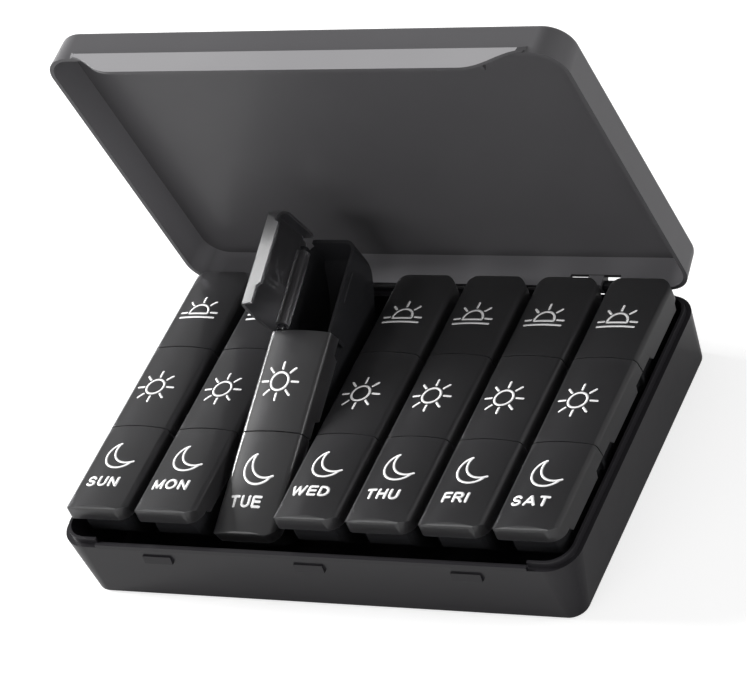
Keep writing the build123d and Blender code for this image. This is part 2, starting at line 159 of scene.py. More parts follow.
class ShaderKit:
    """Shader node groups that more than one finish uses."""

    DRIFT_DETAIL = 3.0
    DRIFT_BAND = (0.35, 0.65)
    SKIN_DETAIL = 4.0
    SKIN_MEAN = 0.5
    PATCH_DETAIL = 6.0
    PATCH_DISTORTION = 0.6
    PATCH_BAND = (0.5, 0.72)

    def __init__(self) -> None:
        """Build every group once."""
        self.moulding = self._moulding_group()
        self.handling = self._handling_group()

    @staticmethod
    def _socket(
        tree: bpy.types.NodeTree,
        name: str,
        kind: str,
        value: object = None,
        out: bool = False,
    ) -> None:
        """Add a named socket to a group.

        Args:
            tree: Group to add it to.
            name: Name of the socket.
            kind: Float, Color or Vector.
            value: Default value of an input.
            out: True for an output.
        """
        way = "OUTPUT" if out else "INPUT"
        item = tree.interface.new_socket(name, in_out=way, socket_type=f"NodeSocket{kind}")
        if value is not None:
            item.default_value = value

    def _moulding_group(self) -> bpy.types.NodeTree:
        """Colour drift and fine skin of moulded plastic.

        Returns:
            The node group, with Color, Roughness and Height outputs.
        """
        tree = bpy.data.node_groups.new("moulded_skin", "ShaderNodeTree")
        self._socket(tree, "Color", "Color", (0.1, 0.1, 0.1, 1.0))
        self._socket(tree, "Drift Color", "Color", (0.1, 0.1, 0.1, 1.0))
        self._socket(tree, "Drift Scale", "Float", 12.0)
        self._socket(tree, "Roughness", "Float", 0.25)
        self._socket(tree, "Roughness Spread", "Float", 0.05)
        self._socket(tree, "Skin Scale", "Float", 900.0)
        self._socket(tree, "Color", "Color", out=True)
        self._socket(tree, "Roughness", "Float", out=True)
        self._socket(tree, "Height", "Float", out=True)
        nodes, links = tree.nodes, tree.links
        given = nodes.new("NodeGroupInput")
        result = nodes.new("NodeGroupOutput")
        place = nodes.new("ShaderNodeTexCoord")
        drift = nodes.new("ShaderNodeTexNoise")
        drift.inputs["Detail"].default_value = self.DRIFT_DETAIL
        links.new(place.outputs["Object"], drift.inputs["Vector"])
        links.new(given.outputs["Drift Scale"], drift.inputs["Scale"])
        ease = nodes.new("ShaderNodeMapRange")
        ease.inputs["From Min"].default_value = self.DRIFT_BAND[0]
        ease.inputs["From Max"].default_value = self.DRIFT_BAND[1]
        links.new(drift.outputs["Fac"], ease.inputs["Value"])
        mix = nodes.new("ShaderNodeMix")
        mix.data_type = "RGBA"
        links.new(ease.outputs["Result"], mix.inputs["Factor"])
        links.new(given.outputs["Color"], mix.inputs["A"])
        links.new(given.outputs["Drift Color"], mix.inputs["B"])
        links.new(mix.outputs["Result"], result.inputs["Color"])
        skin = nodes.new("ShaderNodeTexNoise")
        skin.inputs["Detail"].default_value = self.SKIN_DETAIL
        links.new(place.outputs["Object"], skin.inputs["Vector"])
        links.new(given.outputs["Skin Scale"], skin.inputs["Scale"])
        links.new(skin.outputs["Fac"], result.inputs["Height"])
        centred = nodes.new("ShaderNodeMath")
        centred.operation = "SUBTRACT"
        centred.inputs[1].default_value = self.SKIN_MEAN
        links.new(skin.outputs["Fac"], centred.inputs[0])
        spread = nodes.new("ShaderNodeMath")
        spread.operation = "MULTIPLY_ADD"
        links.new(centred.outputs["Value"], spread.inputs[0])
        links.new(given.outputs["Roughness Spread"], spread.inputs[1])
        links.new(given.outputs["Roughness"], spread.inputs[2])
        links.new(spread.outputs["Value"], result.inputs["Roughness"])
        return tree

    def _handling_group(self) -> bpy.types.NodeTree:
        """Faint matt patches left by handling.

        Returns:
            The node group, with a Roughness output.
        """
        tree = bpy.data.node_groups.new("handling_marks", "ShaderNodeTree")
        self._socket(tree, "Roughness", "Float", 0.2)
        self._socket(tree, "Amount", "Float", 0.06)
        self._socket(tree, "Scale", "Float", 60.0)
        self._socket(tree, "Roughness", "Float", out=True)
        nodes, links = tree.nodes, tree.links
        given = nodes.new("NodeGroupInput")
        result = nodes.new("NodeGroupOutput")
        place = nodes.new("ShaderNodeTexCoord")
        patches = nodes.new("ShaderNodeTexNoise")
        patches.inputs["Detail"].default_value = self.PATCH_DETAIL
        patches.inputs["Distortion"].default_value = self.PATCH_DISTORTION
        links.new(place.outputs["Object"], patches.inputs["Vector"])
        links.new(given.outputs["Scale"], patches.inputs["Scale"])
        ease = nodes.new("ShaderNodeMapRange")
        ease.interpolation_type = "SMOOTHSTEP"
        ease.inputs["From Min"].default_value = self.PATCH_BAND[0]
        ease.inputs["From Max"].default_value = self.PATCH_BAND[1]
        links.new(patches.outputs["Fac"], ease.inputs["Value"])
        rough = nodes.new("ShaderNodeMath")
        rough.operation = "MULTIPLY_ADD"
        links.new(ease.outputs["Result"], rough.inputs[0])
        links.new(given.outputs["Amount"], rough.inputs[1])
        links.new(given.outputs["Roughness"], rough.inputs[2])
        links.new(rough.outputs["Value"], result.inputs["Roughness"])
        return tree


@dataclass(frozen=True)
class ThinWall:
    """Painted light: a wall given a lighter colour for the light that falls on it and comes through
    it, found by how it faces and where it lies along one axis.

    Each band gives the value where the painted light starts and the value where it is full.
    """

    axis: str
    facing: tuple[float, float]
    place: tuple[float, float]


# The case lid's inner walls as it stands open, painted lighter for the light on them: the left one
# faces right, the rear one faces up.
PAINTED_LIGHT_WALLS = (
    ThinWall("X", (0.1, 0.95), (0.0, -0.03)),
    ThinWall("Z", (0.35, 0.95), (0.07, 0.05)),
)


@dataclass(frozen=True)
class MouldedPlastic:
    """A glossy or satin moulded plastic."""

    name: str
    colour: Colour
    drift: Colour
    ior: float = 1.5
    bump_strength: float = 0.1
    roughness: float = 0.2
    spread: float = 0.05
    skin_scale: float = 900.0
    skin_height: float = 0.01 * MM
    handling: float = 0.03
    specular: float = 0.5
    transmission: float = 0.0
    coat: float = 0.0
    coat_roughness: float = 0.08
    # Colour painted on the case lid's inner walls, as painted light where light falls on them.
    thin_colour: Colour | None = None

    def material(self, kit: ShaderKit) -> bpy.types.Material:
        """Build the material.

        Args:
            kit: Node groups to build it from.

        Returns:
            The finished material.
        """
        made = bpy.data.materials.new(self.name)
        made.use_nodes = True
        nodes, links = made.node_tree.nodes, made.node_tree.links
        shader = nodes["Principled BSDF"]
        skin = nodes.new("ShaderNodeGroup")
        skin.node_tree = kit.moulding
        skin.inputs["Color"].default_value = (*self.colour, 1.0)
        skin.inputs["Drift Color"].default_value = (*self.drift, 1.0)
        skin.inputs["Roughness Spread"].default_value = self.spread
        skin.inputs["Skin Scale"].default_value = self.skin_scale
        handling = nodes.new("ShaderNodeGroup")
        handling.node_tree = kit.handling
        handling.inputs["Roughness"].default_value = self.roughness
        handling.inputs["Amount"].default_value = self.handling
        links.new(handling.outputs["Roughness"], skin.inputs["Roughness"])
        colour = skin.outputs["Color"]
        # Painted light: the inner walls get a lighter colour for the light that falls on them.
        if self.thin_colour:
            colour = self._thinned(made.node_tree, colour, self.thin_colour)
        links.new(colour, shader.inputs["Base Color"])
        links.new(skin.outputs["Roughness"], shader.inputs["Roughness"])
        bump = nodes.new("ShaderNodeBump")
        bump.inputs["Strength"].default_value = self.bump_strength
        bump.inputs["Distance"].default_value = self.skin_height
        links.new(skin.outputs["Height"], bump.inputs["Height"])
        links.new(bump.outputs["Normal"], shader.inputs["Normal"])
        shader.inputs["IOR"].default_value = self.ior
        shader.inputs["Specular IOR Level"].default_value = self.specular
        shader.inputs["Transmission Weight"].default_value = self.transmission
        shader.inputs["Coat Weight"].default_value = self.coat
        shader.inputs["Coat Roughness"].default_value = self.coat_roughness
        return made

    def _thinned(
        self,
        tree: bpy.types.NodeTree,
        own_colour: bpy.types.NodeSocket,
        thin: Colour,
    ) -> bpy.types.NodeSocket:
        """Painted light: a lighter colour on the inner walls on the left and at the rear, for the
        light that falls on them and comes through them.

        Args:
            tree: Node tree of the material.
            own_colour: Own colour of the plastic, where no light is painted.
            thin: Lighter colour painted on those walls as painted light.

        Returns:
            Socket of the mixed colour.
        """
        nodes, links = tree.nodes, tree.links
        place = nodes.new("ShaderNodeTexCoord")
        way = nodes.new("ShaderNodeSeparateXYZ")
        spot = nodes.new("ShaderNodeSeparateXYZ")
        links.new(place.outputs["Normal"], way.inputs["Vector"])
        links.new(place.outputs["Object"], spot.inputs["Vector"])
        masks = []
        for wall in PAINTED_LIGHT_WALLS:
            turned = self._ramp(tree, way.outputs[wall.axis], wall.facing)
            near = self._ramp(tree, spot.outputs[wall.axis], wall.place)
            both = nodes.new("ShaderNodeMath")
            both.operation = "MULTIPLY"
            links.new(turned, both.inputs[0])
            links.new(near, both.inputs[1])
            masks.append(both.outputs["Value"])
        either = nodes.new("ShaderNodeMath")
        either.operation = "MAXIMUM"
        links.new(masks[0], either.inputs[0])
        links.new(masks[1], either.inputs[1])
        mix = nodes.new("ShaderNodeMix")
        mix.data_type = "RGBA"
        links.new(either.outputs["Value"], mix.inputs["Factor"])
        links.new(own_colour, mix.inputs["A"])
        mix.inputs["B"].default_value = (*thin, 1.0)
        return mix.outputs["Result"]

    @staticmethod
    def _ramp(
        tree: bpy.types.NodeTree,
        value: bpy.types.NodeSocket,
        band: tuple[float, float],
    ) -> bpy.types.NodeSocket:
        """Smooth step of a value from 0 to 1 over a band.

        Args:
            tree: Node tree to add it to.
            value: Socket of the value.
            band: Value that gives 0 and value that gives 1.

        Returns:
            Socket of the result.
        """
        ramp = tree.nodes.new("ShaderNodeMapRange")
        ramp.interpolation_type = "SMOOTHSTEP"
        ramp.inputs["From Min"].default_value, ramp.inputs["From Max"].default_value = band
        tree.links.new(value, ramp.inputs["Value"])
        return ramp.outputs["Result"]


class Finish(Enum):
    """Finishes of the organizer's mouldings and marks."""

    TRAY = MouldedPlastic(
        "tray_plastic",
        (0.014, 0.013, 0.0155),
        (0.0165, 0.0155, 0.018),
        roughness=0.3,
        specular=0.3,
        coat=0.2,
    )
    CASE_LID = MouldedPlastic(
        "case_lid_plastic",
        (0.088, 0.086, 0.091),
        (0.097, 0.095, 0.1),
        roughness=0.38,
        specular=0.35,
        coat=0.15,
        coat_roughness=0.2,
        # A lighter colour painted on the inner walls, as painted light.
        thin_colour=(0.24, 0.235, 0.248),
    )
    # Painted highlight: a lighter colour for the light that the tongue's outer face catches.
    THIN_LIP = MouldedPlastic(
        "thin_lip_plastic",
        (0.31, 0.305, 0.315),
        (0.34, 0.335, 0.345),
        roughness=0.3,
        specular=0.4,
    )
    BOX = MouldedPlastic(
        "box_plastic",
        (0.028, 0.028, 0.031),
        (0.034, 0.034, 0.037),
        roughness=0.22,
        specular=0.4,
        transmission=0.3,
    )
    LID = MouldedPlastic(
        "lid_plastic",
        (0.13, 0.128, 0.136),
        (0.14, 0.138, 0.146),
        roughness=0.3,
        handling=0.02,
        specular=0.3,
        transmission=0.86,
        coat=0.5,
        coat_roughness=0.12,
    )
    INK = MouldedPlastic(
        "white_ink",
        (0.96, 0.96, 0.96),
        (0.94, 0.94, 0.94),
        roughness=0.5,
        specular=0.2,
    )


@dataclass
class Workshop:
    """Shared ways of making a piece and of handing it to the frame, in millimetres and degrees."""

    frame: dict
    kit: ShaderKit = field(default_factory=ShaderKit)
    finishes: dict[Finish, bpy.types.Material] = field(default_factory=dict)
    weld: float = 0.002
    flat_angle: float = 0.6
    sharp_angle: float = 28.0
    segments: int = 2
    flat_weight: int = 90

    def finish(self, finish: Finish) -> bpy.types.Material:
        """Material of a finish, built at its first use."""
        if finish not in self.finishes:
            self.finishes[finish] = finish.value.material(self.kit)
        return self.finishes[finish]

    def softened(self, node: str, name: str, edge: float, finish: Finish) -> bpy.types.Object:
        """Copy a CAD moulding, with its edges rounded and its curves smooth.

        Args:
            node: CAD node to copy.
            name: Name of the new piece.
            edge: Radius of the softened edges, in millimetres.
            finish: Finish of the piece.

        Returns:
            The new piece, riding on the node's body and standing for the node.
        """
        source = self.frame["nodes"][node]
        mesh = source.data.copy()
        shell = bmesh.new()
        shell.from_mesh(mesh)
        bmesh.ops.remove_doubles(shell, verts=shell.verts, dist=self.weld * MM)
        bmesh.ops.dissolve_limit(
            shell,
            angle_limit=math.radians(self.flat_angle),
            verts=shell.verts,
            edges=shell.edges,
        )
        for face in shell.faces:
            face.smooth = True
        shell.to_mesh(mesh)
        shell.free()
        mesh.materials.clear()
        piece = bpy.data.objects.new(name, mesh)
        bpy.context.scene.collection.objects.link(piece)
        self.rounded(piece, edge)
        piece.data.materials.append(self.finish(finish))
        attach(piece, source["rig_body"])
        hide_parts(node)
        return piece

    def rounded(self, piece: bpy.types.Object, edge: float) -> None:
        """Round the edges of a piece and keep its flat faces flat.

        Args:
            piece: Piece of smooth faces.
            edge: Radius of the softened edges, in millimetres.
        """
        bevel = piece.modifiers.new("soft_edges", "BEVEL")
        bevel.width = edge * MM
        bevel.segments = self.segments
        bevel.limit_method = "ANGLE"
        bevel.angle_limit = math.radians(self.sharp_angle)
        bevel.harden_normals = True
        weighted = piece.modifiers.new("flat_faces", "WEIGHTED_NORMAL")
        weighted.keep_sharp = True
        weighted.weight = self.flat_weight
        self.baked(piece)

    @staticmethod
    def baked(piece: bpy.types.Object) -> None:
        """Turn a piece's modifiers into plain mesh.

        Args:
            piece: Piece whose modifiers are applied and removed.
        """
        bpy.context.view_layer.update()
        evaluated = piece.evaluated_get(bpy.context.evaluated_depsgraph_get())
        mesh = bpy.data.meshes.new_from_object(evaluated)
        piece.modifiers.clear()
        piece.data = mesh


@dataclass
class CaseShell:
    """The base tray and the hinged case lid."""

    shop: Workshop
    edge: float = 0.3
    open_angle: float = 80.4
    hinge_y: float = 66.5
    hinge_z: float = 27.1
    lip_root: float = 25.0
    lip_facing: float = -0.8
    sill_front: float = 64.5
    sill_rear: float = 65.8
    sill_foot: float = 21.0
    sill_top: float = 27.0
    sill_foot_depth: float = 0.3
    sill_edge: float = 0.2
    sill_runs: tuple[tuple[float, float], ...] = ((-91.0, -72.2), (-51.8, 51.8), (72.2, 91.0))

    def build(self) -> None:
        """Build both halves of the case and the sill between the hinges."""
        tray = self.shop.softened("base_tray", "tray_moulding", self.edge, Finish.TRAY)
        LOG.info("piece %s: %d faces", tray.name, len(tray.data.polygons))
        lid = self.shop.softened("case_lid", "case_lid_moulding", self.edge, Finish.CASE_LID)
        self._thin_lip(lid)
        LOG.info("piece %s: %d faces", lid.name, len(lid.data.polygons))
        self._rear_sill()

    def _thin_lip(self, lid: bpy.types.Object) -> None:
        """Paint a highlight on the outer face of the thin front tongue: a lighter colour that stands
        for the light it catches.

        Args:
            lid: The case lid, as it stands open.
        """
        # The faces picked below get the painted highlight colour.
        lid.data.materials.append(self.shop.finish(Finish.THIN_LIP))
        hinge = Vector((0.0, self.hinge_y, self.hinge_z)) * MM
        closing = Matrix.Rotation(math.radians(self.open_angle), 3, "X")
        for face in lid.data.polygons:
            place = closing @ (face.center - hinge) + hinge
            facing = (closing @ face.normal).y
            if place.z < self.lip_root * MM and place.y < 0.0 and facing < self.lip_facing:
                face.material_index = 1

    def _rear_sill(self) -> None:
        """Low sill on the rear wall, beside the hinges, under the open case lid."""
        sill = bmesh.new()
        for left, right in self.sill_runs:
            made = bmesh.ops.create_cube(sill, size=1.0)
            low = Vector((left, self.sill_front, self.sill_foot))
            high = Vector((right, self.sill_rear, self.sill_top))
            for vert in made["verts"]:
                at_foot = vert.co.z < 0.0
                vert.co = (vert.co * (high - low) + (low + high) / 2) * MM
                if at_foot:
                    vert.co.y = min(vert.co.y, (self.sill_front + self.sill_foot_depth) * MM)
        for face in sill.faces:
            face.smooth = True
        mesh = bpy.data.meshes.new("rear_sill")
        sill.to_mesh(mesh)
        sill.free()
        piece = bpy.data.objects.new("rear_sill", mesh)
        bpy.context.scene.collection.objects.link(piece)
        self.shop.rounded(piece, self.sill_edge)
        piece.data.materials.append(self.shop.finish(Finish.TRAY))
        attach(piece, self.shop.frame["nodes"]["base_tray"]["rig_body"])


@dataclass
class DailyBoxes:
    """The seven daily boxes and their slot lids."""

    shop: Workshop
    box_edge: float = 0.25
    lid_edge: float = 0.35

    def build(self) -> None:
        """Build every box and every lid."""
        for day in DAYS:
            node = f"{day}_box"
            body = self.shop.softened(node, f"{node}_moulding", self.box_edge, Finish.BOX)
            for slot in Slot:
                node = f"{day}_{slot.word}_lid"
                lid = self.shop.softened(node, f"{node}_moulding", self.lid_edge, Finish.LID)
            LOG.info("piece %s and its lids", body.name)


@dataclass(frozen=True)
class Arc:
    """Round stroke of a printed mark, in millimetres and degrees."""

    centre: Point
    radii: Point
    start: float
    sweep: float
    spacing: float = 5.0

    def points(self) -> list[Point]:
        """Points along the stroke, about one spacing apart."""
        steps = max(round(abs(self.sweep) / self.spacing), 1)
        turns = [math.radians(self.start + self.sweep * step / steps) for step in range(steps + 1)]
        (x, y), (across, up) = self.centre, self.radii
        return [(x + across * math.cos(turn), y + up * math.sin(turn)) for turn in turns]


@dataclass(frozen=True)
class Letter:
    """Strokes of one capital letter, from its lower left corner, in millimetres."""

    width: float
    corners: tuple[tuple[Point, ...], ...] = ()
    arcs: tuple[Arc, ...] = ()

    def strokes(self, shift: float) -> list[list[Point]]:
        """Point lists of the letter's strokes, moved to its place in the word.

        Args:
            shift: Distance of the letter's left side from the start of the word.

        Returns:
            One list for each straight run and each arc.
        """
        runs = [list(run) for line in self.corners for run in zip(line, line[1:])]
        runs += [arc.points() for arc in self.arcs]
        return [[(x + shift, y) for x, y in run] for run in runs]


LETTERS = {
    "A": Letter(3.4, (((0.0, 0.0), (1.7, 3.4), (3.4, 0.0)), ((0.6, 1.05), (2.8, 1.05)))),
    "D": Letter(
        2.8,
        (((1.15, 0.0), (0.0, 0.0), (0.0, 3.4), (1.15, 3.4)),),
        (Arc((1.15, 1.7), (1.65, 1.7), -90.0, 180.0),),
    ),
    "E": Letter(
        2.35,
        (((2.35, 3.4), (0.0, 3.4), (0.0, 0.0), (2.35, 0.0)), ((0.0, 1.75), (2.15, 1.75))),
    ),
    "F": Letter(2.1, (((2.1, 3.4), (0.0, 3.4), (0.0, 0.0)), ((0.0, 1.7), (1.85, 1.7)))),
    "H": Letter(
        2.55,
        (((0.0, 0.0), (0.0, 3.4)), ((2.55, 0.0), (2.55, 3.4)), ((0.0, 1.75), (2.55, 1.75))),
    ),
    "I": Letter(0.0, (((0.0, 0.0), (0.0, 3.4)),)),
    "M": Letter(3.2, (((0.0, 0.0), (0.0, 3.4), (1.6, 0.2), (3.2, 3.4), (3.2, 0.0)),)),
    "N": Letter(2.55, (((0.0, 0.0), (0.0, 3.4), (2.55, 0.0), (2.55, 3.4)),)),
    "O": Letter(3.3, (), (Arc((1.65, 1.7), (1.65, 1.75), 0.0, 360.0),)),
    "R": Letter(
        2.75,
        (((0.0, 0.0), (0.0, 3.4), (1.7, 3.4)), ((0.0, 1.6), (1.7, 1.6)), ((1.5, 1.6), (2.75, 0.0))),
        (Arc((1.7, 2.5), (0.95, 0.9), -90.0, 180.0),),
    ),
    "S": Letter(
        2.65,
        (),
        (Arc((1.3, 2.55), (1.15, 0.88), 15.0, 255.0), Arc((1.33, 0.83), (1.3, 0.86), 90.0, -255.0)),
    ),
    "T": Letter(2.6, (((0.0, 3.4), (2.6, 3.4)), ((1.3, 3.4), (1.3, 0.0)))),
    "U": Letter(
        2.55,
        (((0.0, 3.4), (0.0, 1.2)), ((2.55, 3.4), (2.55, 1.2))),
        (Arc((1.275, 1.2), (1.275, 1.22), 180.0, 180.0),),
    ),
    "W": Letter(4.5, (((0.0, 3.4), (1.15, 0.0), (2.25, 3.3), (3.35, 0.0), (4.5, 3.4)),)),
}


@dataclass(frozen=True)
class Pictogram:
    """Strokes and rays of one slot's pictogram, round its own middle, in millimetres."""

    name: str
    middle: Point
    arcs: tuple[Arc, ...]
    lines: tuple[tuple[Point, Point], ...] = ()
    ray_count: int = 0
    ray_start: float = 0.0
    ray_length: float = 0.0
    stroke: float = 0.85

    def strokes(self) -> list[list[Point]]:
        """Point lists of every stroke but the rays."""
        return [arc.points() for arc in self.arcs] + [list(line) for line in self.lines]


@dataclass(frozen=True)
class DayName:
    """Three capitals of a day's name, centred on the place where it is printed."""

    word: str
    middle: Point = (-2.0, -7.2)
    gap: float = 1.6
    height: float = 3.4
    scale: float = 1.1
    ray_count: int = 0
    ray_start: float = 0.0
    ray_length: float = 0.0
    stroke: float = 1.02

    @property
    def name(self) -> str:
        """Name of the mark."""
        return self.word.lower()

    def strokes(self) -> list[list[Point]]:
        """Point lists of every stroke of the word, round its middle."""
        letters = [LETTERS[sign] for sign in self.word]
        total = sum(letter.width for letter in letters) + self.gap * (len(letters) - 1)
        shift = -total / 2
        half = self.height / 2
        runs = []
        for letter in letters:
            for run in letter.strokes(shift):
                runs.append([(x * self.scale, (y - half) * self.scale) for x, y in run])
            shift += letter.width + self.gap
        return runs


class Printing:
    """Geometry node tree that lays out a pictogram as flat printed strokes."""

    INPUTS = (
        ("Ray Count", "Int", 8),
        ("Ray Spread", "Float", math.radians(45.0)),
        ("Ray Start", "Float", 4.8),
        ("Ray Length", "Float", 2.5),
        ("Stroke Width", "Float", 0.85),
        ("Ink Thickness", "Float", 0.06),
        ("Step", "Float", 0.5),
        ("Ink", "Material", None),
    )
    END_SIDES = 16
    END_THINNESS = 0.9

    def __init__(self) -> None:
        """Build the tree once."""
        self.tree = bpy.data.node_groups.new("printed_pictogram", "GeometryNodeTree")
        self.sockets: dict[str, str] = {}
        self._build()

    def _build(self) -> None:
        """Add the sockets and the nodes of the tree."""
        tree = self.tree
        tree.interface.new_socket("Geometry", in_out="INPUT", socket_type="NodeSocketGeometry")
        tree.interface.new_socket("Geometry", in_out="OUTPUT", socket_type="NodeSocketGeometry")
        for name, kind, value in self.INPUTS:
            item = tree.interface.new_socket(name, in_out="INPUT", socket_type=f"NodeSocket{kind}")
            if value is not None:
                item.default_value = value
            self.sockets[name] = item.identifier
        nodes, links = tree.nodes, tree.links
        given = nodes.new("NodeGroupInput")
        result = nodes.new("NodeGroupOutput")
        rays = self._rays(given)
        outline = nodes.new("GeometryNodeJoinGeometry")
        links.new(given.outputs["Geometry"], outline.inputs["Geometry"])
        links.new(rays, outline.inputs["Geometry"])
        spaced = nodes.new("GeometryNodeResampleCurve")
        spaced.mode = "LENGTH"
        links.new(outline.outputs["Geometry"], spaced.inputs["Curve"])
        links.new(given.outputs["Step"], spaced.inputs["Length"])
        level = nodes.new("GeometryNodeSetCurveNormal")
        level.mode = "Z_UP"
        links.new(spaced.outputs["Curve"], level.inputs["Curve"])
        section = nodes.new("GeometryNodeCurvePrimitiveQuadrilateral")
        links.new(given.outputs["Stroke Width"], section.inputs["Width"])
        links.new(given.outputs["Ink Thickness"], section.inputs["Height"])
        ribbon = nodes.new("GeometryNodeCurveToMesh")
        ribbon.inputs["Fill Caps"].default_value = True
        links.new(level.outputs["Curve"], ribbon.inputs["Curve"])
        links.new(section.outputs["Curve"], ribbon.inputs["Profile Curve"])
        whole = nodes.new("GeometryNodeJoinGeometry")
        links.new(ribbon.outputs["Mesh"], whole.inputs["Geometry"])
        links.new(self._ends(given, spaced.outputs["Curve"]), whole.inputs["Geometry"])
        real = nodes.new("GeometryNodeRealizeInstances")
        links.new(whole.outputs["Geometry"], real.inputs["Geometry"])
        inked = nodes.new("GeometryNodeSetMaterial")
        links.new(real.outputs["Geometry"], inked.inputs["Geometry"])
        links.new(given.outputs["Ink"], inked.inputs["Material"])
        links.new(inked.outputs["Geometry"], result.inputs["Geometry"])

    def _rays(self, given: bpy.types.Node) -> bpy.types.NodeSocket:
        """Rays that stand round the middle, one spread apart.

        Args:
            given: Group input node.

        Returns:
            Socket of the rays, as curves.
        """
        nodes, links = self.tree.nodes, self.tree.links
        places = nodes.new("GeometryNodeMeshLine")
        places.inputs["Offset"].default_value = (0.0, 0.0, 0.0)
        links.new(given.outputs["Ray Count"], places.inputs["Count"])
        inner = nodes.new("ShaderNodeCombineXYZ")
        links.new(given.outputs["Ray Start"], inner.inputs["X"])
        reach = nodes.new("ShaderNodeMath")
        reach.operation = "ADD"
        links.new(given.outputs["Ray Start"], reach.inputs[0])
        links.new(given.outputs["Ray Length"], reach.inputs[1])
        outer = nodes.new("ShaderNodeCombineXYZ")
        links.new(reach.outputs["Value"], outer.inputs["X"])
        ray = nodes.new("GeometryNodeCurvePrimitiveLine")
        links.new(inner.outputs["Vector"], ray.inputs["Start"])
        links.new(outer.outputs["Vector"], ray.inputs["End"])
        number = nodes.new("GeometryNodeInputIndex")
        turn = nodes.new("ShaderNodeMath")
        turn.operation = "MULTIPLY"
        links.new(number.outputs["Index"], turn.inputs[0])
        links.new(given.outputs["Ray Spread"], turn.inputs[1])
        turned = nodes.new("ShaderNodeCombineXYZ")
        links.new(turn.outputs["Value"], turned.inputs["Z"])
        copies = nodes.new("GeometryNodeInstanceOnPoints")
        links.new(places.outputs["Mesh"], copies.inputs["Points"])
        links.new(ray.outputs["Curve"], copies.inputs["Instance"])
        links.new(turned.outputs["Vector"], copies.inputs["Rotation"])
        real = nodes.new("GeometryNodeRealizeInstances")
        links.new(copies.outputs["Instances"], real.inputs["Geometry"])
        return real.outputs["Geometry"]

    def _ends(self, given: bpy.types.Node, strokes: bpy.types.NodeSocket) -> bpy.types.NodeSocket:
        """Round ends of the strokes.

        Args:
            given: Group input node.
            strokes: Socket of the strokes, as curves.

        Returns:
            Socket of the ends, as instances.
        """
        nodes, links = self.tree.nodes, self.tree.links
        half = nodes.new("ShaderNodeMath")
        half.operation = "MULTIPLY"
        half.inputs[1].default_value = 0.5
        links.new(given.outputs["Stroke Width"], half.inputs[0])
        thin = nodes.new("ShaderNodeMath")
        thin.operation = "MULTIPLY"
        thin.inputs[1].default_value = self.END_THINNESS
        links.new(given.outputs["Ink Thickness"], thin.inputs[0])
        disc = nodes.new("GeometryNodeMeshCylinder")
        disc.inputs["Vertices"].default_value = self.END_SIDES
        links.new(half.outputs["Value"], disc.inputs["Radius"])
        links.new(thin.outputs["Value"], disc.inputs["Depth"])
        tips = nodes.new("GeometryNodeCurveEndpointSelection")
        copies = nodes.new("GeometryNodeInstanceOnPoints")
        links.new(strokes, copies.inputs["Points"])
        links.new(tips.outputs["Selection"], copies.inputs["Selection"])
        links.new(disc.outputs["Mesh"], copies.inputs["Instance"])
        return copies.outputs["Instances"]

    def mesh(self, sign: Pictogram | DayName, ink: bpy.types.Material) -> bpy.types.Mesh:
        """Flat mesh of a mark, at its place on the lid.

        Args:
            sign: Mark to lay out.
            ink: Material of the strokes.

        Returns:
            The mesh, in the lid's own millimetres.
        """
        curve = bpy.data.curves.new(f"{sign.name}_strokes", "CURVE")
        curve.dimensions = "3D"
        for stroke in sign.strokes():
            spline = curve.splines.new("POLY")
            spline.points.add(len(stroke) - 1)
            for point, (x, y) in zip(spline.points, stroke):
                point.co = (x, y, 0.0, 1.0)
        drawing = bpy.data.objects.new(f"{sign.name}_drawing", curve)
        bpy.context.scene.collection.objects.link(drawing)
        modifier = drawing.modifiers.new("printed_pictogram", "NODES")
        modifier.node_group = self.tree
        modifier[self.sockets["Ray Count"]] = sign.ray_count
        modifier[self.sockets["Ray Start"]] = sign.ray_start
        modifier[self.sockets["Ray Length"]] = sign.ray_length
        modifier[self.sockets["Stroke Width"]] = sign.stroke
        modifier[self.sockets["Ink"]] = ink
        bpy.context.view_layer.update()
        evaluated = drawing.evaluated_get(bpy.context.evaluated_depsgraph_get())
        mesh = bpy.data.meshes.new_from_object(evaluated)
        bpy.data.objects.remove(drawing)
        mesh.transform(Matrix.Translation((*sign.middle, 0.0)))
        return mesh


